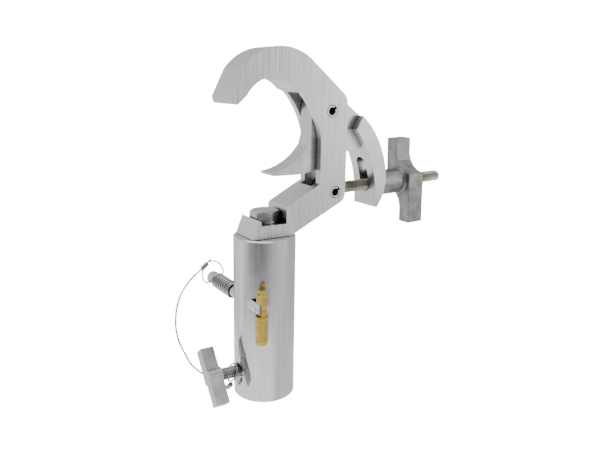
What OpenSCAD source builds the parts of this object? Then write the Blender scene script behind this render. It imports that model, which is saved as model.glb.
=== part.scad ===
// Trigger hook clamp for a 51 mm tube, with a socket for a 28 mm spigot.
// Millimetres. The origin is the centre of the socket's open lower end. +Z is up, the
// tube runs along Y and the wing nut points to +X. The jaw stands at its open limit.

/* [Hook body] */
// width of the hook and of the jaw's tail, along the tube
hook_w = 30; // [20:1:60]
// diameter of the tube that the hook sits on
tube_d = 51; // [48:0.5:51]
// radius of the arch's outside
arch_r = 42.7; // [36:0.1:50]
// width of the slot that holds the jaw and the swing bolt
slot_w = 17; // [12:0.5:20]
// diameter of the two pivot pins
pivot_d = 10; // [6:0.5:12]
// height of the base channel's floor
channel_z = 145; // [140:0.5:150]

/* [Jaw] */
// thickness of the jaw's finger and web
jaw_w = 16; // [10:0.5:19]
// width of the slot in the tail that the swing bolt passes through
tail_slot_w = 12; // [11:0.5:16]

/* [Swing bolt and wing nut] */
// thread diameter of the swing bolt
bolt_d = 10; // [8:1:12]
// distance from the pin to the bolt's tip
bolt_len = 127.2; // [100:0.1:160]
// how far the bolt rises from level, in degrees
bolt_rise = 1.8; // [0:0.1:5]
// distance from the pin to the washer's near face
washer_x = 53.3; // [45:0.1:70]
// thickness of the thrust washer
washer_t = 2.5; // [1:0.1:4]
// diameter of the washer and of the nut's collar
collar_d = 22; // [18:0.5:28]
// length of the nut's collar
collar_len = 23.4; // [10:0.1:30]
// length of the nut's winged block along the bolt
block_len = 16.4; // [8:0.1:24]
// distance between the tips of the wings
wing_span = 74; // [40:1:100]
// thickness of each wing
wing_t = 12.6; // [4:0.1:16]

/* [Fixing bolt] */
// diameter of the bolt that holds the socket
fixing_d = 12; // [8:1:16]
// size across the flats of its head
head_af = 21; // [17:0.5:24]
// height of its head
head_h = 7.4; // [5:0.1:12]

/* [Socket] */
// outside diameter of the barrel
barrel_d = 50.2; // [40:0.1:60]
// height of the barrel
barrel_h = 134.5; // [80:0.5:160]
// diameter of the spigot's bore
bore_d = 29; // [28:0.1:32]
// thickness of the barrel's closed top
top_t = 13; // [8:0.5:20]

/* [Locking pin] */
// diameter of the locking pin
lock_d = 10; // [6:0.5:14]
// height of the pin above the barrel's lower end
lock_z = 83.7; // [40:0.1:110]
// distance of the pin from the barrel's axis
lock_x = -17.6; // [-22:0.1:-14]
// outside diameter of the pin's spring
spring_d = 13.6; // [12:0.1:16]
// diameter of the pin's collar
collar_pin_d = 11.4; // [11:0.1:16]

/* [Clamp screw] */
// thread diameter of the clamp screw
screw_d = 10; // [6:1:12]
// height of the screw above the barrel's lower end
screw_z = 22.2; // [10:0.1:50]
// length of its T-shaped handle
handle_len = 47; // [30:1:80]
// slant of the handle from upright, in degrees
handle_slant = 39; // [0:1:90]

/* [Hidden] */

$fn = 96;
running = 0.05;
aluminium = [0.80, 0.81, 0.82];
steel = [0.70, 0.70, 0.71];
zinc = [0.62, 0.62, 0.60];
brass = [0.80, 0.66, 0.36];

// centres in the X-Z plane
arch_c = [6.7, 236.7];
seat_c = [-0.5, 231.2];
jaw_pin = [52.3, 231.7];
bolt_pin = [57.5, 166.5];
seat_r = tube_d / 2;
pivot_r = pivot_d / 2;
bolt_r = bolt_d / 2;
nut_x = washer_x + washer_t + 0.1;
block_x = nut_x + collar_len;

// locking pin, along Y
hinge_y = -28;
fork_y = -31;
spot_y = 19.4;
head_y = 53;
head_len = 10.4;
loop_y = 58;
slit_w = 5.2;

// clamp screw, along X
screw_in_x = -17.6;
handle_x = -40;
handle_t = 12;

// lanyard: wire diameter and the points that it runs through
wire_d = 1.6;
loop_wire_d = 1.4;
route = [
    [-29.4, 54.7, 97], [-35, 54.5, 92.8], [-42.4, 54, 87.3], [-51, 53, 77], [-56, 51, 66],
    [-59, 47, 56], [-60, 43, 48], [-59, 39, 39], [-56, 35.5, 30], [-52, 33, 21], [-46, 30, 14],
    [-39.5, 27.8, 8.2], [-34.8, 21, 4.4], [-33.4, 12, 3.2], [-33, 5.4, 5.6], [-32.2, 1.2, 9.6]
];
route_steps = 4;

// ---------- shared shapes ----------

// an X-Z outline, made w wide and centred on Y = 0
module across(w) {
    translate([0, w / 2, 0])
        rotate([90, 0, 0])
            linear_extrude(height = w)
                children();
}

// a disc in an X-Z outline
module disc(centre, r) {
    translate(centre)
        circle(r = r);
}

// a round bar along Y from y0 to y1, through the X-Z point at
module bar_y(at, r, y0, y1) {
    translate([at[0], y1, at[1]])
        rotate([90, 0, 0])
            cylinder(r = r, h = y1 - y0);
}

// a round bar along X from x0 to x1, through the Y-Z point at
module bar_x(at, r, x0, x1) {
    translate([x0, at[0], at[1]])
        rotate([0, 90, 0])
            cylinder(r = r, h = x1 - x0);
}

// the swing bolt's own frame: the pin at the origin and the bolt along +X
module on_bolt() {
    translate([bolt_pin[0], 0, bolt_pin[1]])
        rotate([0, -bolt_rise, 0])
            children();
}

// a slotted spring pin in the hook's cheeks, its gap facing up and to the right
module spring_pin(at) {
    difference() {
        bar_y(at, pivot_r, -hook_w / 2, hook_w / 2);
        bar_y(at, pivot_r - 1.9, -hook_w / 2 - 1, hook_w / 2 + 1);
        translate([at[0], 0, at[1]])
            rotate([0, -40, 0])
                translate([0, -hook_w / 2 - 1, -0.9])
                    cube([pivot_r + 1, hook_w + 2, 1.8]);
    }
}

// ---------- hook body ----------

// the space inside the hook, below the tip and above the base
module hook_space() {
    disc(seat_c, seat_r);
    polygon([
        [-35.8, 237.4], [-31, 236.8], [-29.8, 237.4], [-22.6, 243.9], seat_c, [18.4, 248.3],
        [24, 246.2],
        [42.4, 210.2], [42.4, 174.2], [40.3, 173.3], [15.2, 160], [12.3, 158.2],
        [11.4, 156.5], [11.4, channel_z], [-11, channel_z], [-11, 148.2],
        [-11.4, 149], [-12.3, 149.2], [-60, 149.2], [-60, 237.4]
    ]);
    intersection() {
        disc([-26.3, 197.8], 69.8);
        polygon([[24, 246.2], [42.4, 210.2], [50, 210.2], [50, 246.2]]);
    }
}

module hook_outline() {
    difference() {
        union() {
            intersection() {
                disc(arch_c, arch_r);
                polygon([[-28, 261.2], [-40, 300], [60, 300], [33.4, 270], arch_c]);
            }
            polygon([
                [-28, 261.2], [-37.3, 242.5], [-37, 240], [-35.8, 237.4], [-12.3, 200],
                [-12.3, 149.2], [-18.1, 134.8], [16.1, 134.8], [62.25, 157.3],
                [67.3, 165.4], [67.3, 236.7], [62.8, 246.1], [33.4, 270], arch_c
            ]);
            disc([55.3, 236.7], 12);
            disc([58.3, 165.4], 9);
        }
        hook_space();
    }
}

// the slot for the jaw and the swing bolt, open to the right and below
module slot_outline() {
    polygon([
        [23, 244.7], [46, 265.2], [90, 265.2], [90, 140], [46, 140],
        [46, 165.2], [38, 170.7], [38, 198]
    ]);
}

module hook_body() {
    color(aluminium)
        difference() {
            across(hook_w)
                hook_outline();
            across(slot_w)
                slot_outline();
            bar_y(jaw_pin, pivot_r, -hook_w, hook_w);
            bar_y(bolt_pin, pivot_r, -hook_w, hook_w);
            translate([0, 0, 130])
                cylinder(r = fixing_d / 2 + 0.2, h = 20);
        }
}

module jaw_pivot_pin() {
    color(steel)
        spring_pin(jaw_pin);
}

module swing_bolt_pin() {
    color(steel)
        spring_pin(bolt_pin);
}

// ---------- jaw ----------

// the finger below the tube and the web round the pivot
module web_outline() {
    disc(jaw_pin, 15.5);
    difference() {
        polygon([
            [0.6, 184.2], [0.9, 183], [3.1, 182.1], [14.8, 181.9], [28.7, 182], [41, 184.5],
            [52, 189.5], [64, 195.4], [76, 199.4], [90, 201.5], [92, 214], [83.8, 228.4],
            [71.8, 237], [61.1, 244.4], [52.3, 231.7], [37.2, 228], [37.5, 214],
            [35, 205], [16, 205], [0.6, 185.6]
        ]);
        intersection() {
            disc([-4.5, 232.9], 48.4);
            polygon([[-20, 160], [-20, 205], [36, 205], [36, 160]]);
        }
    }
}

// the curved tail that the wing nut presses on
module tail_outline() {
    difference() {
        union() {
            intersection() {
                disc([37.4, 171.1], 72.9);
                polygon([[77.2, 216.6], [84.2, 229.2], [130, 229.2], [130, 175], [77.2, 175]]);
            }
            intersection() {
                disc([72.3, 174.1], 37.9);
                polygon([[77.2, 175], [130, 175], [130, 150.2], [77.2, 150.2]]);
            }
        }
        disc([7.9, 156.4], 91.8);
    }
}

module trigger_jaw() {
    slot_low = 162.2 + tail_slot_w / 2;
    slot_high = 192.2 - tail_slot_w / 2;
    color(aluminium)
        difference() {
            union() {
                across(jaw_w)
                    web_outline();
                across(hook_w)
                    tail_outline();
            }
            bar_y(jaw_pin, pivot_r + running, -jaw_w, jaw_w);
            bar_x([0, slot_low], tail_slot_w / 2, 85, 125);
            bar_x([0, slot_high], tail_slot_w / 2, 85, 125);
            translate([85, -tail_slot_w / 2, slot_low])
                cube([40, tail_slot_w, slot_high - slot_low]);
        }
}

// ---------- swing bolt, washer and wing nut ----------

module swing_bolt() {
    eye_w = 16;
    color(zinc)
        on_bolt()
            difference() {
                union() {
                    bar_y([0, 0], 8.5, -eye_w / 2, eye_w / 2);
                    bar_x([0, 0], bolt_r, 0, bolt_len - 1.5);
                    translate([bolt_len - 1.5, 0, 0])
                        rotate([0, 90, 0])
                            cylinder(r1 = bolt_r, r2 = bolt_r - 1.3, h = 1.5);
                }
                bar_y([0, 0], pivot_r + running, -eye_w, eye_w);
            }
}

module thrust_washer() {
    color(zinc)
        on_bolt()
            difference() {
                bar_x([0, 0], collar_d / 2, washer_x, washer_x + washer_t);
                bar_x([0, 0], bolt_r + running, washer_x - 1, washer_x + washer_t + 1);
            }
}

// the winged block seen along the bolt: two offset wings that flare into the hub
module wing_outline() {
    side = 15.5;
    flare_r = 18;
    flare_z = 25.7;
    difference() {
        union() {
            translate([side - wing_t, -flare_z])
                square([wing_t, wing_span / 2 + flare_z]);
            translate([-side, -wing_span / 2])
                square([wing_t, wing_span / 2 + flare_z]);
            square([2 * side, 2 * flare_z], center = true);
        }
        disc([side - wing_t - flare_r, flare_z], flare_r);
        disc([wing_t + flare_r - side, -flare_z], flare_r);
        translate([-side - 1, flare_z - flare_r / 2])
            square([flare_r, wing_span]);
        translate([side + 1 - flare_r, flare_r / 2 - flare_z - wing_span])
            square([flare_r, wing_span]);
    }
}

module wing_nut() {
    color(zinc)
        on_bolt()
            difference() {
                union() {
                    bar_x([0, 0], collar_d / 2, nut_x, block_x);
                    bar_x([0, 0], collar_d / 2 + 0.8, block_x - 1.4, block_x);
                    translate([block_x, 0, 0])
                        rotate([90, 0, 90])
                            linear_extrude(height = block_len)
                                wing_outline();
                }
                bar_x([0, 0], bolt_r + running, nut_x - 1, block_x + block_len + 1);
            }
}

// ---------- fixing bolt and its washer and nut ----------

// a hexagon with flats facing +X and -X, its upper corners chamfered
module hexagon(af, h) {
    corner_r = af / sqrt(3);
    intersection() {
        rotate([0, 0, 30])
            cylinder(r = corner_r, h = h, $fn = 6);
        rotate_extrude()
            polygon([[0, 0], [corner_r, 0], [corner_r, h - 1.2], [af / 2 - 0.4, h], [0, h]]);
    }
}

washer_h = 2.6;
head_z = channel_z + washer_h;
shank_end_z = 109;

module fixing_bolt() {
    color(zinc)
        union() {
            translate([0, 0, head_z])
                hexagon(head_af, head_h);
            translate([0, 0, shank_end_z])
                cylinder(r = fixing_d / 2, h = head_z - shank_end_z + 1);
        }
}

module spring_washer() {
    color(zinc)
        translate([0, 0, channel_z])
            difference() {
                cylinder(r = head_af / 2 - 0.2, h = washer_h);
                translate([0, 0, -1])
                    cylinder(r = fixing_d / 2 + 0.2, h = washer_h + 2);
                rotate([0, 0, -60])
                    translate([0, -1, -1])
                        cube([head_af, 2, washer_h + 2]);
            }
}

module socket_nut() {
    nut_h = 10;
    color(zinc)
        translate([0, 0, barrel_h - top_t - 0.3])
            mirror([0, 0, 1])
                difference() {
                    hexagon(18, nut_h);
                    translate([0, 0, -1])
                        cylinder(r = fixing_d / 2, h = nut_h + 2);
                }
}

// ---------- socket ----------

module socket_barrel() {
    r = barrel_d / 2;
    bore_r = bore_d / 2;
    upper_r = bore_r - 0.25;
    step_z = lock_z - 5.7;
    ceiling_z = barrel_h - top_t;
    bolt_hole_r = fixing_d / 2 + running;
    color(steel)
        difference() {
            rotate_extrude()
                polygon([
                    [bore_r, 0], [r - 0.8, 0], [r, 0.8], [r, barrel_h - 0.8],
                    [r - 0.8, barrel_h], [bolt_hole_r, barrel_h], [bolt_hole_r, ceiling_z],
                    [upper_r, ceiling_z], [upper_r, step_z], [bore_r, step_z]
                ]);
            bar_y([lock_x, lock_z], lock_d / 2 + running, -r, r);
            bar_y([lock_x, lock_z], spring_d / 2 + 0.5, spot_y, r);
            bar_x([0, screw_z], screw_d / 2 + running, -r - 1, 0);
        }
}

// ---------- locking pin ----------

// the pin, with its nose rounded about the toggle's hinge and slit for the toggle
module locking_pin() {
    slit_end_y = hinge_y + 18;
    color(steel)
        difference() {
            union() {
                bar_y([lock_x, lock_z], lock_d / 2, hinge_y, head_y + 0.1);
                intersection() {
                    bar_y([lock_x, lock_z], lock_d / 2, fork_y, hinge_y + 1);
                    bar_x([hinge_y, lock_z], lock_d / 2 + 0.3, lock_x - lock_d, lock_x + lock_d);
                }
            }
            translate([lock_x - slit_w / 2, fork_y - 1, lock_z - lock_d])
                cube([slit_w, slit_end_y - fork_y + 1, 2 * lock_d]);
            bar_x([hinge_y, lock_z], 1.5, lock_x - lock_d, lock_x + lock_d);
        }
}

module toggle_cross_pin() {
    half = 4.7;
    color(steel)
        bar_x([hinge_y, lock_z], 1.5, lock_x - half, lock_x + half);
}

// the brass drop nose: a flat tongue in the slit and a round weight below it
module toggle() {
    tongue_t = 5;
    tongue_w = 8.4;
    tongue_top = lock_z + 15.6;
    chamfer = 1.6;
    weight_top = lock_z - 5.6;
    weight_r = 4.9;
    weight_end = 53.2;
    color(brass)
        difference() {
            union() {
                translate([lock_x - tongue_t / 2, hinge_y, 0])
                    rotate([90, 0, 90])
                        linear_extrude(height = tongue_t)
                            polygon([
                                [-tongue_w / 2, weight_top - 1], [tongue_w / 2, weight_top - 1],
                                [tongue_w / 2, tongue_top - chamfer],
                                [tongue_w / 2 - chamfer, tongue_top],
                                [chamfer - tongue_w / 2, tongue_top],
                                [-tongue_w / 2, tongue_top - chamfer]
                            ]);
                translate([lock_x, hinge_y, weight_end + weight_r])
                    cylinder(r = weight_r, h = weight_top - weight_end - weight_r);
                translate([lock_x, hinge_y, weight_end + weight_r])
                    sphere(r = weight_r);
            }
            bar_x([hinge_y, lock_z], 1.5 + running, lock_x - 10, lock_x + 10);
            bar_x([hinge_y, tongue_top - 3.6], 1.1, lock_x - 10, lock_x + 10);
        }
}

// the space that the coil spring fills
module pin_spring() {
    color(steel)
        difference() {
            bar_y([lock_x, lock_z], spring_d / 2, spot_y + 0.2, head_y - 0.2);
            bar_y([lock_x, lock_z], spring_d / 2 - 1.4, spot_y, head_y);
        }
}

module pin_head() {
    r = collar_pin_d / 2;
    color(steel)
        difference() {
            translate([lock_x, head_y + 0.1, lock_z])
                rotate([-90, 0, 0])
                    rotate_extrude()
                        polygon([
                            [0, 0], [r - 0.6, 0], [r, 0.6], [r, head_len - 1],
                            [r - 1, head_len], [0, head_len]
                        ]);
            translate([lock_x, loop_y, lock_z])
                rotate([0, 90 - upper_tilt, 0])
                    cylinder(r = 1.3, h = 20, center = true);
        }
}

// ---------- clamp screw ----------

module clamp_screw() {
    color(zinc)
        bar_x([0, screw_z], screw_d / 2, handle_x, screw_in_x);
}

// the T-shaped handle: a boss on the stud and two slightly staggered square-ended wings
module clamp_handle() {
    wing_w = 10;
    stagger = 1.2;
    reach = handle_len / 2;
    color(steel)
        translate([handle_x, 0, screw_z])
            rotate([-handle_slant, 0, 0])
                union() {
                    bar_x([0, 0], 7, -handle_t, 0);
                    for (side = [-1, 1])
                        translate([-handle_t, side * stagger - wing_w / 2, side > 0 ? 0 : -reach])
                            cube([handle_t - 0.8, wing_w, reach]);
                }
}

module pressure_pad() {
    color([0.15, 0.15, 0.16])
        bar_x([0, screw_z], 4.6, screw_in_x + 0.1, -bore_d / 2 - 0.2);
}

// ---------- lanyard ----------

// a point on the smooth curve through four points of the route, t from 0 to 1
function smooth(a, b, c, d, t) =
    0.5 * (2 * b + (c - a) * t + (2 * a - 5 * b + 4 * c - d) * t * t
        + (3 * b - a - 3 * c + d) * t * t * t);

function curve(pts, steps) = [
    for (i = [0:len(pts) - 2], s = [0:steps - 1])
        smooth(pts[max(i - 1, 0)], pts[i], pts[i + 1], pts[min(i + 2, len(pts) - 1)], s / steps),
    pts[len(pts) - 1]
];

function unit(v) = v / norm(v);

// the eight corners of the tube's ring round p, square to the direction d
function ring(p, d, r) =
    let (u = unit(cross(d, [0.3, 1, 0.2])), w = cross(u, d))
    [for (k = [0:7]) p + r * (cos(k * 45) * u + sin(k * 45) * w)];

// a tube along a list of points
module tube(line, r) {
    n = len(line);
    rings = [
        for (i = [0:n - 1])
            each ring(line[i], unit(line[min(i + 1, n - 1)] - line[max(i - 1, 0)]), r)
    ];
    sides = [
        for (i = [0:n - 2], k = [0:7])
            each [
                [i * 8 + k, i * 8 + (k + 1) % 8, (i + 1) * 8 + k],
                [i * 8 + (k + 1) % 8, (i + 1) * 8 + (k + 1) % 8, (i + 1) * 8 + k]
            ]
    ];
    first = [[for (k = [7:-1:0]) k]];
    last = [[for (k = [0:7]) (n - 1) * 8 + k]];
    polyhedron(points = rings, faces = concat(sides, first, last));
}

module lanyard_wire() {
    color(steel)
        tube(curve(route, route_steps), wire_d / 2);
}

// a crimped sleeve over the wire's end at the point at, pointing along the unit vector to,
// with a cut wire end that stands out of it by stub
module sleeve(at, to, stub) {
    sleeve_len = 7;
    grip = 2.4;
    color(steel)
        translate(at)
            rotate([0, acos(to[2]), atan2(to[1], to[0])])
                translate([0, 0, -grip])
                    difference() {
                        union() {
                            cylinder(r = 2, h = sleeve_len);
                            translate([0, 0.9, grip + 1])
                                cylinder(r = loop_wire_d / 2, h = sleeve_len - grip - 1 + stub);
                        }
                        translate([0, 0, -1])
                            cylinder(r = wire_d / 2 + 0.15, h = grip + 1.2);
                    }
}

// the loop leaves the ferrule, runs straight through the pin's head and comes back
upper_tilt = 21.6;
half_loop = [[0.9, 17], [5, 15.5], [8.6, 11], [9.8, 6], [9.6, 2.4], [7.6, 0.1], [4, 0]];
loop_line = [
    for (p = half_loop) [p[0], 0, p[1]],
    for (i = [len(half_loop) - 1:-1:0]) [-half_loop[i][0], 0, half_loop[i][1]]
];

module upper_loop() {
    color(steel)
        translate([lock_x, loop_y, lock_z])
            rotate([0, -upper_tilt, 0])
                tube(curve(loop_line, 3), loop_wire_d / 2);
}

module upper_ferrule() {
    sleeve(route[0], unit(route[0] - route[1]), 4);
}

module lower_loop() {
    color(steel)
        translate([-29.5, 0, screw_z - 0.4])
            rotate([0, 115, 0])
                rotate_extrude()
                    translate([7, 0])
                        circle(r = loop_wire_d / 2, $fn = 24);
}

module lower_ferrule() {
    n = len(route);
    sleeve(route[n - 1], unit(route[n - 1] - route[n - 2]), 0.6);
}

hook_body();
trigger_jaw();
jaw_pivot_pin();
swing_bolt_pin();
swing_bolt();
thrust_washer();
wing_nut();
fixing_bolt();
spring_washer();
socket_nut();
socket_barrel();
locking_pin();
toggle();
toggle_cross_pin();
pin_spring();
pin_head();
clamp_screw();
clamp_handle();
pressure_pad();
lanyard_wire();
upper_loop();
lower_loop();
upper_ferrule();
lower_ferrule();
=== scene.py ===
import math

import bmesh
import bpy
from mathutils import Matrix, Vector


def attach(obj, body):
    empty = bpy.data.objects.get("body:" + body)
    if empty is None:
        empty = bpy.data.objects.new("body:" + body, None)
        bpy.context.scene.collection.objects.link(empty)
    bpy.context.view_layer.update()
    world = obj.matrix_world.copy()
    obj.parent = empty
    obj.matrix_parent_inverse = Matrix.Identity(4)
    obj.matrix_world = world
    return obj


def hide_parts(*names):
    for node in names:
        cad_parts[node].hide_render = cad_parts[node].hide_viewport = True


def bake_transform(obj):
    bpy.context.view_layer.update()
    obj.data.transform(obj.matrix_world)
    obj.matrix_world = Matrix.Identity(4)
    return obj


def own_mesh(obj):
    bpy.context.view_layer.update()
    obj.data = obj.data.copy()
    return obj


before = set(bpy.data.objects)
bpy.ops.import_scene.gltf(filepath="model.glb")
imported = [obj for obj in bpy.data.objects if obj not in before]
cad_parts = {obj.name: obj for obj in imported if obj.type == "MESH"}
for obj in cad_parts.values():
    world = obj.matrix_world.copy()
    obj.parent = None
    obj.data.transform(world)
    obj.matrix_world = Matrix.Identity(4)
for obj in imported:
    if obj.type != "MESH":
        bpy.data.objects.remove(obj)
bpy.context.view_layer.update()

MM = 0.001

# ---------- places that part.scad also holds, in millimetres ----------

JAW_PIN = Vector((52.3, 0, 231.7))
BOLT_PIN = Vector((57.5, 0, 166.5))
BOLT_RISE = math.radians(1.8)
BOLT_LEN = 127.2
THREAD_START = 12.0
THREAD_R = 5.0
THREAD_PITCH = 1.5
LOCK_X, LOCK_Z = -17.6, 83.7
SPRING_Y = (19.7, 52.7)
SCREW_Z = 22.2
SCREW_X = (-40.0, -17.6)
UPPER_LOOP_Y = 58
UPPER_LOOP_TILT = math.radians(21.6)
LOWER_LOOP_X = -29.5
LOWER_LOOP_DROP = 0.4
LOWER_LOOP_TILT = math.radians(115)
LOWER_LOOP_R = 7
LOOP_WIRE_R = 0.7
ROUTE = [
    (-29.4, 54.7, 97), (-35, 54.5, 92.8), (-42.4, 54, 87.3), (-51, 53, 77), (-56, 51, 66),
    (-59, 47, 56), (-60, 43, 48), (-59, 39, 39), (-56, 35.5, 30), (-52, 33, 21), (-46, 30, 14),
    (-39.5, 27.8, 8.2), (-34.8, 21, 4.4), (-33.4, 12, 3.2), (-33, 5.4, 5.6), (-32.2, 1.2, 9.6),
]
WIRE_R = 0.8
HALF_LOOP = [(0.9, 17), (5, 15.5), (8.6, 11), (9.8, 6), (9.6, 2.4), (7.6, 0.1), (4, 0)]


# ---------- camera ----------

# the place and the turn of a camera that sees what the photograph shows
CAMERA_PLACE = Vector((-230.1, -418.5, 253.8))
CAMERA_YAW = math.radians(32.67)
CAMERA_PITCH = math.radians(13.12)
CAMERA_ROLL = math.radians(1.12)
SENSOR_WIDTH = 36
FOCAL_LENGTH = 36.23


def camera():
    data = bpy.data.cameras.new("camera")
    data.sensor_width = SENSOR_WIDTH
    data.lens = FOCAL_LENGTH
    data.clip_start = 0.01
    shot = bpy.data.objects.new("camera", data)
    bpy.context.scene.collection.objects.link(shot)
    turn = (
        Matrix.Rotation(-CAMERA_YAW, 4, "Z")
        @ Matrix.Rotation(math.pi / 2 - CAMERA_PITCH, 4, "X")
        @ Matrix.Rotation(CAMERA_ROLL, 4, "Z")
    )
    shot.matrix_world = Matrix.Translation(CAMERA_PLACE * MM) @ turn
    bpy.context.scene.camera = shot


# ---------- node helpers for materials ----------

def new_material(name):
    material = bpy.data.materials.new(name)
    material.use_nodes = True
    return material, material.node_tree.nodes, material.node_tree.links


def noise(nodes, links, scale, stretch=(1, 1, 1), detail=6.0):
    place = nodes.new("ShaderNodeTexCoord")
    mapping = nodes.new("ShaderNodeMapping")
    mapping.inputs["Scale"].default_value = stretch
    texture = nodes.new("ShaderNodeTexNoise")
    texture.inputs["Scale"].default_value = scale
    texture.inputs["Detail"].default_value = detail
    links.new(place.outputs["Object"], mapping.inputs["Vector"])
    links.new(mapping.outputs["Vector"], texture.inputs["Vector"])
    return texture.outputs["Fac"]


def ramp(nodes, links, value, low, high, start=0.3, end=0.7):
    blend = nodes.new("ShaderNodeValToRGB")
    blend.color_ramp.elements[0].position = start
    blend.color_ramp.elements[0].color = (*low, 1)
    blend.color_ramp.elements[1].position = end
    blend.color_ramp.elements[1].color = (*high, 1)
    links.new(value, blend.inputs["Fac"])
    return blend.outputs["Color"]


def spread(nodes, links, value, low, high):
    scale = nodes.new("ShaderNodeMapRange")
    scale.inputs["From Min"].default_value = 0.25
    scale.inputs["From Max"].default_value = 0.75
    scale.inputs["To Min"].default_value = low
    scale.inputs["To Max"].default_value = high
    links.new(value, scale.inputs["Value"])
    return scale.outputs["Result"]


def scaled(nodes, links, colour, value, start, end, low, high):
    """The colour times a number that runs from low to high as the value runs from start to end."""
    scale = nodes.new("ShaderNodeMapRange")
    scale.inputs["From Min"].default_value = start
    scale.inputs["From Max"].default_value = end
    scale.inputs["To Min"].default_value = low
    scale.inputs["To Max"].default_value = high
    links.new(value, scale.inputs["Value"])
    product = nodes.new("ShaderNodeVectorMath")
    product.operation = "SCALE"
    links.new(colour, product.inputs[0])
    links.new(scale.outputs["Result"], product.inputs["Scale"])
    return product.outputs["Vector"]


# painted shade in gaps and holes: how far away in metres another surface still darkens a metal,
# and the shares of open space at which it is fully dark and not darkened
GAP_SHADE_REACH = 0.012
GAP_SHADE_OPEN = (0.15, 0.80)

# painted shade for the dark line round the pivot pins' ends, nearly black on their rounded outer edge:
# the distances from the axis in metres over which the colour falls, and the share of it that is left
RIM_SHADE = (0.0043, 0.0044)
RIM_SHADE_LEFT = 0.05


def painted_gap_shade(nodes, links, colour, gap_shade):
    """The colour, with shade painted darker inside gaps and holes."""
    open_sky = nodes.new("ShaderNodeAmbientOcclusion")
    open_sky.samples = 12
    open_sky.inputs["Distance"].default_value = GAP_SHADE_REACH
    return scaled(nodes, links, colour, open_sky.outputs["AO"], *GAP_SHADE_OPEN, gap_shade, 1.0)


def lifted(nodes, links, colour, start, end, gain):
    """The colour, made brighter by gain where X in metres is past end."""
    place = nodes.new("ShaderNodeTexCoord")
    split = nodes.new("ShaderNodeSeparateXYZ")
    links.new(place.outputs["Object"], split.inputs["Vector"])
    return scaled(nodes, links, colour, split.outputs["X"], start, end, 1.0, gain)


def painted_rim_shade(nodes, links, colour, centre):
    """The colour of a pin along Y, with shade painted nearly black on its rounded outer edge; centre is
    X, Z in metres.
    """
    place = nodes.new("ShaderNodeTexCoord")
    shift = nodes.new("ShaderNodeVectorMath")
    shift.operation = "MULTIPLY_ADD"
    shift.inputs[1].default_value = (1, 0, 1)
    shift.inputs[2].default_value = (-centre[0], 0, -centre[1])
    links.new(place.outputs["Object"], shift.inputs[0])
    radius = nodes.new("ShaderNodeVectorMath")
    radius.operation = "LENGTH"
    links.new(shift.outputs["Vector"], radius.inputs[0])
    return scaled(nodes, links, colour, radius.outputs["Value"], *RIM_SHADE, 1.0, RIM_SHADE_LEFT)


def on_sides(nodes, links, value):
    """The value where the surface faces along Y, fading to 0.5 where it doesn't."""
    split = nodes.new("ShaderNodeSeparateXYZ")
    links.new(nodes.new("ShaderNodeTexCoord").outputs["Normal"], split.inputs["Vector"])
    facing = nodes.new("ShaderNodeMath")
    facing.operation = "ABSOLUTE"
    links.new(split.outputs["Y"], facing.inputs[0])
    centred = nodes.new("ShaderNodeMath")
    centred.operation = "SUBTRACT"
    centred.inputs[1].default_value = 0.5
    links.new(value, centred.inputs[0])
    faded = nodes.new("ShaderNodeMath")
    faded.operation = "MULTIPLY_ADD"
    faded.inputs[2].default_value = 0.5
    links.new(centred.outputs["Value"], faded.inputs[0])
    links.new(facing.outputs["Value"], faded.inputs[1])
    return faded.outputs["Value"]


def bump(nodes, links, value, strength, distance, below=None):
    relief = nodes.new("ShaderNodeBump")
    relief.inputs["Strength"].default_value = strength
    relief.inputs["Distance"].default_value = distance
    links.new(value, relief.inputs["Height"])
    if below is not None:
        links.new(below, relief.inputs["Normal"])
    return relief.outputs["Normal"]


def metal(name, dark, light, rough, stretch, streak=0.25, depth=0.00002, grain=0.0,
          gap_shade=0.10, lift=None, rim_shade_centre=None, sides=False):
    """A metal with streaks along the axis whose stretch is smallest.

    grain adds a fine relief, gap is the share of the colour left where shade is painted deep inside
    gaps, rim is the axis of a pin whose outer edge gets painted shade, and sides keeps the streaks to
    the faces that look along Y.
    """
    material, nodes, links = new_material(name)
    shader = nodes["Principled BSDF"]
    shader.inputs["Metallic"].default_value = 1.0
    streaks = noise(nodes, links, 1.0, stretch)
    if sides:
        streaks = on_sides(nodes, links, streaks)
    patches = noise(nodes, links, 60, detail=3.0)
    colour = ramp(nodes, links, streaks, dark, light)
    if lift:
        colour = lifted(nodes, links, colour, *lift)
    # painted shade: a nearly black ring on a pin's rounded outer edge
    if rim_shade_centre:
        colour = painted_rim_shade(nodes, links, colour, rim_shade_centre)
    # painted shade: the colour darkened in gaps and holes
    links.new(painted_gap_shade(nodes, links, colour, gap_shade), shader.inputs["Base Color"])
    mix = nodes.new("ShaderNodeMath")
    mix.operation = "ADD"
    links.new(spread(nodes, links, streaks, rough[0], rough[1]), mix.inputs[0])
    links.new(spread(nodes, links, patches, -0.04, 0.04), mix.inputs[1])
    links.new(mix.outputs["Value"], shader.inputs["Roughness"])
    normal = bump(nodes, links, streaks, streak, depth)
    if grain:
        fine = noise(nodes, links, 900, detail=4.0)
        normal = bump(nodes, links, fine, grain, 0.0002, normal)
    links.new(normal, shader.inputs["Normal"])
    return material


def plastic(name, colour, rough):
    material, nodes, links = new_material(name)
    shader = nodes["Principled BSDF"]
    fine = noise(nodes, links, 700, detail=4.0)
    lighter = tuple(min(1, c * 1.4 + 0.01) for c in colour)
    links.new(ramp(nodes, links, fine, colour, lighter), shader.inputs["Base Color"])
    links.new(spread(nodes, links, fine, rough - 0.05, rough + 0.05), shader.inputs["Roughness"])
    links.new(bump(nodes, links, fine, 0.2, 0.0001), shader.inputs["Normal"])
    return material


# gap sets how much painted shade darkens each metal in gaps and holes, and rim paints shade round the
# pivot pins' ends
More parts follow.
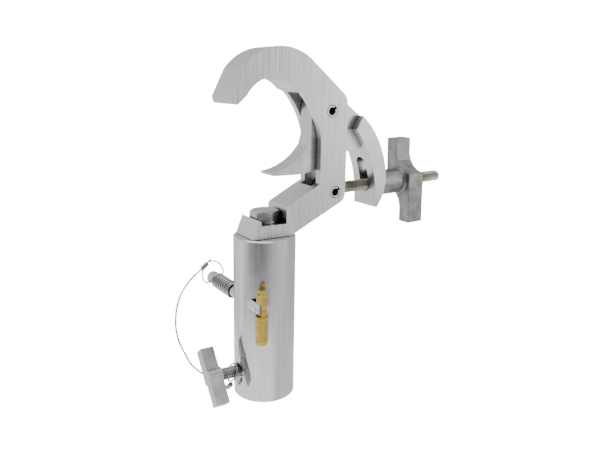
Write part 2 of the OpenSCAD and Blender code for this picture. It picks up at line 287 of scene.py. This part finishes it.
MATERIALS = {
    "hook_milled": metal("hook_milled", (0.52, 0.53, 0.54), (0.86, 0.87, 0.88), (0.24, 0.40),
                         (1100, 8, 24), streak=0.6, depth=0.00004, sides=True),
    "jaw_milled": metal("jaw_milled", (0.52, 0.53, 0.54), (0.80, 0.81, 0.82), (0.22, 0.36),
                        (60, 900, 60), streak=0.3, depth=0.00003),
    "barrel_polished": metal("barrel_polished", (0.66, 0.66, 0.67), (0.82, 0.82, 0.83), (0.12, 0.18),
                             (500, 500, 20), streak=0.10, depth=0.000008),
    "bolt_zinc": metal("bolt_zinc", (0.28, 0.26, 0.20), (0.52, 0.50, 0.42), (0.26, 0.40),
                       (120, 120, 120), streak=0.1, grain=0.06, gap_shade=0.25, lift=(0.160, 0.168, 1.9)),
    "plain_zinc": metal("plain_zinc", (0.46, 0.46, 0.45), (0.68, 0.68, 0.67), (0.24, 0.36),
                        (140, 140, 140), streak=0.1, grain=0.05),
    "nut_cast": metal("nut_cast", (0.22, 0.22, 0.215), (0.40, 0.40, 0.39), (0.30, 0.44),
                      (150, 150, 150), streak=0.1, grain=0.30),
    "pin_turned": metal("pin_turned", (0.62, 0.62, 0.62), (0.80, 0.80, 0.80), (0.18, 0.30),
                        (80, 1200, 80), streak=0.2, depth=0.00001),
    "jaw_pin_end": metal("jaw_pin_end", (0.70, 0.70, 0.70), (0.90, 0.90, 0.90), (0.25, 0.35),
                         (80, 1200, 80), streak=0.2, depth=0.00001,
                         rim_shade_centre=(JAW_PIN.x * MM, JAW_PIN.z * MM)),
    "bolt_pin_end": metal("bolt_pin_end", (0.70, 0.70, 0.70), (0.90, 0.90, 0.90), (0.25, 0.35),
                          (80, 1200, 80), streak=0.2, depth=0.00001,
                          rim_shade_centre=(BOLT_PIN.x * MM, BOLT_PIN.z * MM)),
    "knob_satin": metal("knob_satin", (0.40, 0.40, 0.41), (0.66, 0.66, 0.66), (0.22, 0.34),
                        (90, 90, 90), streak=0.1, grain=0.10),
    "toggle_brass": metal("toggle_brass", (0.50, 0.33, 0.06), (0.74, 0.54, 0.16), (0.20, 0.32),
                          (90, 90, 900), streak=0.15, depth=0.00001),
    "wire_steel": metal("wire_steel", (0.36, 0.36, 0.37), (0.48, 0.48, 0.49), (0.42, 0.54),
                        (200, 200, 200), streak=0.1, grain=0.05, gap_shade=0.7),
    "pad_plastic": plastic("pad_plastic", (0.03, 0.03, 0.035), 0.5),
}


# ---------- mesh helpers ----------

def add_piece(name, mesh, material, body, nodes=()):
    piece = bpy.data.objects.new(name, mesh)
    bpy.context.scene.collection.objects.link(piece)
    mesh.materials.clear()
    mesh.materials.append(MATERIALS[material])
    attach(piece, body)
    if nodes:
        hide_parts(*nodes)
    return piece


def baked(mesh, width, segments=2, angle=28):
    """The mesh with its sharp edges rounded and its normals weighted by face."""
    holder = bpy.data.objects.new("holder", mesh)
    bpy.context.scene.collection.objects.link(holder)
    rounding = holder.modifiers.new("rounding", "BEVEL")
    rounding.width = width * MM
    rounding.segments = segments
    rounding.limit_method = "ANGLE"
    rounding.angle_limit = math.radians(angle)
    rounding.use_clamp_overlap = True
    rounding.harden_normals = False
    weights = holder.modifiers.new("weights", "WEIGHTED_NORMAL")
    weights.keep_sharp = True
    bpy.context.view_layer.update()
    graph = bpy.context.evaluated_depsgraph_get()
    result = bpy.data.meshes.new_from_object(holder.evaluated_get(graph))
    bpy.data.objects.remove(holder)
    return result


def clean_copy(node):
    """A copy of a CAD node's mesh as a bmesh, with its flat faces joined."""
    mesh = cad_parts[node].data.copy()
    if "custom_normal" in mesh.attributes:
        mesh.attributes.remove(mesh.attributes["custom_normal"])
    shape = bmesh.new()
    shape.from_mesh(mesh)
    bmesh.ops.remove_doubles(shape, verts=shape.verts, dist=0.002 * MM)
    bmesh.ops.dissolve_limit(shape, angle_limit=math.radians(0.4), verts=shape.verts, edges=shape.edges)
    return shape


def as_mesh(shape, name, sharp=30):
    mesh = bpy.data.meshes.new(name)
    shape.to_mesh(mesh)
    shape.free()
    for face in mesh.polygons:
        face.use_smooth = True
    mesh.set_sharp_from_angle(angle=math.radians(sharp))
    return mesh


def finished(node, width, material, body, cut=None):
    """Stands for a CAD node: the same shape with small rounded edges."""
    shape = clean_copy(node)
    if cut:
        bmesh.ops.bisect_plane(
            shape, geom=shape.verts[:] + shape.edges[:] + shape.faces[:],
            plane_co=cut[0], plane_no=cut[1], clear_outer=True,
        )
    mesh = baked(as_mesh(shape, node + "_detail"), width)
    for face in mesh.polygons:
        face.use_smooth = True
    return add_piece(node + "_detail", mesh, material, body, [node])


def sweep(line, radius, sides=12, closed=False, profile=None):
    """A tube along points in millimetres.

    profile(angle, run) scales the radius, and run is the length so far.
    """
    points = [Vector(p) for p in line]
    count = len(points)
    shape = bmesh.new()
    rings = []
    run = 0.0
    side = None
    for i, point in enumerate(points):
        if closed:
            ahead = points[(i + 1) % count] - points[i - 1]
        else:
            ahead = points[min(i + 1, count - 1)] - points[max(i - 1, 0)]
        ahead.normalize()
        if side is None:
            side = ahead.orthogonal().normalized()
        side = (side - side.dot(ahead) * ahead).normalized()
        across = ahead.cross(side)
        if i:
            run += (point - points[i - 1]).length
        ring = []
        for k in range(sides):
            angle = 2 * math.pi * k / sides
            size = radius * (profile(angle, run) if profile else 1)
            offset = side * math.cos(angle) * size + across * math.sin(angle) * size
            ring.append(shape.verts.new((point + offset) * MM))
        rings.append(ring)
    last = count if closed else count - 1
    for i in range(last):
        a, b = rings[i], rings[(i + 1) % count]
        for k in range(sides):
            shape.faces.new((a[k], a[(k + 1) % sides], b[(k + 1) % sides], b[k]))
    if not closed:
        shape.faces.new(reversed(rings[0]))
        shape.faces.new(rings[-1])
    bmesh.ops.recalc_face_normals(shape, faces=shape.faces)
    return shape


def smooth_line(points, steps):
    """A Catmull-Rom curve through the points."""
    line = []
    pts = [Vector(p) for p in points]
    for i in range(len(pts) - 1):
        a, b = pts[max(i - 1, 0)], pts[i]
        c, d = pts[i + 1], pts[min(i + 2, len(pts) - 1)]
        for s in range(steps):
            t = s / steps
            line.append(0.5 * (2 * b + (c - a) * t + (2 * a - 5 * b + 4 * c - d) * t * t
                               + (3 * b - a - 3 * c + d) * t ** 3))
    line.append(pts[-1])
    return line


def thread_rod(outer, pitch, start, end, place, tip=0.0, sides=40, per_pitch=8):
    """A threaded rod along local X in millimetres, laid by the matrix place."""
    depth = 0.58 * pitch
    shape = bmesh.new()
    rows = int((end - start) / pitch * per_pitch)
    rings = []
    for i in range(rows + 1):
        x = start + (end - start) * i / rows
        ring = []
        for k in range(sides):
            turn = k / sides
            phase = (x / pitch - turn) % 1.0
            # flat is 1 on the crest and 0 in the groove, and the groove grows over the first turn
            wave = abs(2 * phase - 1)
            flat = min(1.0, max(0.0, wave * 1.35 - 0.12))
            fade = min(1.0, (x - start) / pitch)
            radius = outer - depth * (1 - flat) * fade
            if tip and x > end - tip:
                radius = min(radius, outer - 0.3 - (x - end + tip) * 0.75)
            angle = 2 * math.pi * turn
            ring.append(shape.verts.new((x, radius * math.cos(angle), radius * math.sin(angle))))
        rings.append(ring)
    for i in range(rows):
        for k in range(sides):
            shape.faces.new((rings[i][k], rings[i][(k + 1) % sides],
                             rings[i + 1][(k + 1) % sides], rings[i + 1][k]))
    shape.faces.new(reversed(rings[0]))
    shape.faces.new(rings[-1])
    bmesh.ops.recalc_face_normals(shape, faces=shape.faces)
    bmesh.ops.transform(shape, matrix=place, verts=shape.verts)
    bmesh.ops.scale(shape, vec=(MM, MM, MM), verts=shape.verts)
    return shape


# ---------- pieces ----------

ON_BOLT = Matrix.Translation(BOLT_PIN) @ Matrix.Rotation(-BOLT_RISE, 4, "Y")


# the rope's lay: the length of one turn of its six wires, and how deep the grooves between them are
LAY_LENGTH = 9.0
GROOVE = 0.06


def strand(angle, run):
    """The radius of a rope of six wires, as a share of its outside radius."""
    turn = 2 * math.pi * run / LAY_LENGTH
    return 1 - GROOVE + GROOVE * abs(math.cos(3 * (angle - turn)))


def lanyard():
    line = smooth_line(ROUTE, 24)
    mesh = as_mesh(sweep(line, WIRE_R, sides=18, profile=strand), "lanyard_detail", sharp=60)
    rope = bpy.data.objects.new("lanyard_detail", mesh)
    bpy.context.scene.collection.objects.link(rope)
    mesh.materials.append(MATERIALS["wire_steel"])
    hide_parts("lanyard_wire")
    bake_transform(rope)


def wire_loops():
    ends = [(x, 0, z) for x, z in HALF_LOOP]
    ring = smooth_line(ends + [(-x, 0, z) for x, _, z in reversed(ends)], 10)
    shape = sweep(ring, LOOP_WIRE_R, sides=14, profile=strand)
    place = (Matrix.Translation(Vector((LOCK_X, UPPER_LOOP_Y, LOCK_Z)) * MM)
             @ Matrix.Rotation(-UPPER_LOOP_TILT, 4, "Y"))
    bmesh.ops.transform(shape, matrix=place, verts=shape.verts)
    add_piece("upper_loop_detail", as_mesh(shape, "upper_loop_detail", 60), "wire_steel", "pin",
              ["upper_loop"])
    turns = [math.pi * k / 36 for k in range(72)]
    circle = [(LOWER_LOOP_R * math.cos(t), LOWER_LOOP_R * math.sin(t), 0) for t in turns]
    shape = sweep(circle, LOOP_WIRE_R, sides=14, closed=True, profile=strand)
    place = (Matrix.Translation(Vector((LOWER_LOOP_X, 0, SCREW_Z - LOWER_LOOP_DROP)) * MM)
             @ Matrix.Rotation(LOWER_LOOP_TILT, 4, "Y"))
    bmesh.ops.transform(shape, matrix=place, verts=shape.verts)
    add_piece("lower_loop_detail", as_mesh(shape, "lower_loop_detail", 60), "wire_steel", "socket",
              ["lower_loop"])


def spring():
    turns, wire, mean = 9.5, 0.78, 6.0
    y0, y1 = SPRING_Y[0] + wire, SPRING_Y[1] - wire
    line = []
    steps = int(turns * 32)
    for i in range(steps + 1):
        t = i / steps
        dead = 1.0 / turns
        rise = min(1.0, max(0.0, (t - dead * 0.5) / (1 - dead)))
        angle = 2 * math.pi * turns * t
        line.append((LOCK_X + mean * math.cos(angle), y0 + (y1 - y0) * rise,
                     LOCK_Z + mean * math.sin(angle)))
    shape = sweep(line, wire, sides=12)
    coil = add_piece("pin_spring_detail", as_mesh(shape, "pin_spring_detail", 60), "pin_turned",
                     "socket", ["pin_spring"])
    # what is left of the spring's length when the pin has moved its 12 mm is 21 mm of 33
    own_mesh(coil)


def swing_bolt():
    # the CAD shank ends half a millimetre inside the threaded rod
    overlap = 0.5
    cut = (ON_BOLT @ Vector((THREAD_START + overlap, 0, 0)) * MM, ON_BOLT.to_3x3() @ Vector((1, 0, 0)))
    finished("swing_bolt", 0.5, "bolt_zinc", "bolt", cut=cut)
    rod = thread_rod(THREAD_R, THREAD_PITCH, THREAD_START, BOLT_LEN, ON_BOLT, tip=1.6)
    add_piece("swing_bolt_thread", as_mesh(rod, "swing_bolt_thread", 50), "bolt_zinc", "bolt")


def clamp_screw():
    place = Matrix.Translation(Vector((0, 0, SCREW_Z)))
    rod = thread_rod(THREAD_R, THREAD_PITCH, *SCREW_X, place)
    add_piece("clamp_screw_detail", as_mesh(rod, "clamp_screw_detail", 50), "plain_zinc", "screw",
              ["clamp_screw"])


def metal_parts():
    finished("hook_body", 0.8, "hook_milled", "hook")
    finished("trigger_jaw", 0.6, "jaw_milled", "jaw")
    finished("jaw_pivot_pin", 0.6, "jaw_pin_end", "hook")
    finished("swing_bolt_pin", 0.6, "bolt_pin_end", "hook")
    finished("thrust_washer", 0.3, "plain_zinc", "washer")
    finished("wing_nut", 1.2, "nut_cast", "nut")
    finished("fixing_bolt", 0.4, "plain_zinc", "hook")
    finished("spring_washer", 0.3, "plain_zinc", "hook")
    finished("socket_nut", 0.3, "plain_zinc", "hook")
    finished("socket_barrel", 0.5, "barrel_polished", "socket")
    finished("locking_pin", 0.35, "pin_turned", "pin")
    finished("toggle_cross_pin", 0.3, "pin_turned", "pin")
    finished("pin_head", 0.4, "pin_turned", "pin")
    finished("toggle", 0.4, "toggle_brass", "drop_nose")
    finished("clamp_handle", 1.5, "knob_satin", "screw")
    finished("pressure_pad", 0.3, "pad_plastic", "pad")
    finished("upper_ferrule", 0.4, "wire_steel", "pin")
    finished("lower_ferrule", 0.4, "wire_steel", "socket")


# ---------- studio ----------

# the view's direction over the floor, and the direction to its right
VIEW = (0.54, 0.842, 0)
RIGHT = (0.842, -0.54, 0)

# brightness of the studio's broad soft panels by bearing in degrees, 0 being behind the camera
# and positive to its right: pale all round, brighter to the left, darker behind the camera
PANELS = [(-180, 0.65), (-90, 1.2), (-45, 0.35), (0, 0.20), (65, 0.90), (120, 0.65), (180, 0.65)]
TOP_LEVEL = 1.2

# the ceiling, the panels under it and the light from below, over the sine of the elevation;
# each is where the change starts and ends, and the levels there
CEILING = (0.35, 0.8, 0.0, 0.7)
UNDER_CEILING = (0.35, 0.7, 1.0, 0.25)
FROM_BELOW = (-0.42, -0.29, 1.0, 0.0)

# the light from below is weaker on the right, over the bearing in radians
BELOW_LEVEL = (0.4, 1.0, 1.4, 0.9)

# the floor and the backdrop: how strongly they glow, and their sizes in metres
GLOW = 16.0
FLOOR_SIZE = 6
FLOOR_DROP = 0.0004
BACKDROP_R = 5


def dot(nodes, links, vector, direction):
    product = nodes.new("ShaderNodeVectorMath")
    product.operation = "DOT_PRODUCT"
    product.inputs[1].default_value = direction
    links.new(vector, product.inputs[0])
    return product.outputs["Value"]


def fade(nodes, links, value, start, end, low, high):
    step = nodes.new("ShaderNodeMapRange")
    step.interpolation_type = "SMOOTHSTEP"
    step.inputs["From Min"].default_value = start
    step.inputs["From Max"].default_value = end
    step.inputs["To Min"].default_value = low
    step.inputs["To Max"].default_value = high
    links.new(value, step.inputs["Value"])
    return step.outputs["Result"]


def math_node(nodes, links, operation, a, b):
    node = nodes.new("ShaderNodeMath")
    node.operation = operation
    for socket, value in zip(node.inputs, (a, b)):
        if isinstance(value, (int, float)):
            socket.default_value = value
        else:
            links.new(value, socket)
    return node.outputs["Value"]


def walls():
    """A round studio: broad soft panels by bearing, a soft ceiling and light from below."""
    world = bpy.data.worlds.new("studio")
    world.use_nodes = True
    nodes, links = world.node_tree.nodes, world.node_tree.links
    way = nodes.new("ShaderNodeTexCoord").outputs["Generated"]
    ahead = dot(nodes, links, way, VIEW)
    aside = dot(nodes, links, way, RIGHT)
    behind = math_node(nodes, links, "MULTIPLY", ahead, -1.0)
    bearing = math_node(nodes, links, "ARCTAN2", aside, behind)
    share = math_node(nodes, links, "MULTIPLY_ADD", bearing, 0.5 / math.pi)
    share.node.inputs[2].default_value = 0.5
    panels = nodes.new("ShaderNodeValToRGB")
    stops = panels.color_ramp.elements
    while len(stops) < len(PANELS):
        stops.new(0.5)
    for stop, (angle, level) in zip(stops, PANELS):
        stop.position = (angle + 180) / 360
        stop.color = (*(level / TOP_LEVEL,) * 3, 1)
    links.new(share, panels.inputs["Fac"])
    level = math_node(nodes, links, "MULTIPLY", panels.outputs["Color"], TOP_LEVEL)
    height = dot(nodes, links, way, (0, 0, 1))
    ceiling = fade(nodes, links, height, *CEILING)
    open_wall = fade(nodes, links, height, *UNDER_CEILING)
    low = fade(nodes, links, height, *FROM_BELOW)
    low_level = fade(nodes, links, bearing, *BELOW_LEVEL)
    low = math_node(nodes, links, "MULTIPLY", low, low_level)
    total = math_node(nodes, links, "MULTIPLY", level, open_wall)
    total = math_node(nodes, links, "ADD", total, ceiling)
    total = math_node(nodes, links, "MAXIMUM", total, low)
    links.new(total, nodes["Background"].inputs["Strength"])
    nodes["Background"].inputs["Color"].default_value = (1, 1, 1, 1)
    bpy.context.scene.world = world


def glowing(name, shape):
    """A plain pale surface round the object, evenly lit, that the metal doesn't mirror."""
    material, nodes, links = new_material(name)
    shader = nodes["Principled BSDF"]
    grain = noise(nodes, links, 20, detail=2.0)
    links.new(ramp(nodes, links, grain, (0.90,) * 3, (0.92,) * 3), shader.inputs["Base Color"])
    shader.inputs["Roughness"].default_value = 0.9
    shader.inputs["Specular IOR Level"].default_value = 0.0
    shader.inputs["Emission Strength"].default_value = GLOW
    shader.inputs["Emission Color"].default_value = (1, 1, 1, 1)
    mesh = as_mesh(shape, name)
    mesh.materials.append(material)
    surface = bpy.data.objects.new(name, mesh)
    bpy.context.scene.collection.objects.link(surface)
    surface.visible_glossy = False
    surface.visible_diffuse = False
    surface.visible_shadow = False
    return surface


def floor():
    shape = bmesh.new()
    bmesh.ops.create_grid(shape, x_segments=1, y_segments=1, size=FLOOR_SIZE)
    glowing("floor", shape).location = (0, 0, -FLOOR_DROP)
    shape = bmesh.new()
    bmesh.ops.create_icosphere(shape, subdivisions=4, radius=BACKDROP_R)
    glowing("backdrop", shape)


def lamp(name, size, place, aim, strength):
    """A soft panel light."""
    data = bpy.data.lights.new(name, "AREA")
    data.shape = "RECTANGLE"
    data.size, data.size_y = size
    data.energy = strength
    light = bpy.data.objects.new(name, data)
    bpy.context.scene.collection.objects.link(light)
    light.location = place
    light.rotation_euler = (Vector(aim) - Vector(place)).to_track_quat("-Z", "Y").to_euler()


def studio():
    middle = (0.03, 0, 0.16)
    walls()
    floor()
    lamp("top", (0.8, 0.8), (-0.25, 0.0, 1.1), middle, 2.5)
    lamp("right", (0.35, 0.9), (0.75, -0.75, 0.45), middle, 1.5)


camera()
lanyard()
wire_loops()
spring()
swing_bolt()
clamp_screw()
metal_parts()
studio()
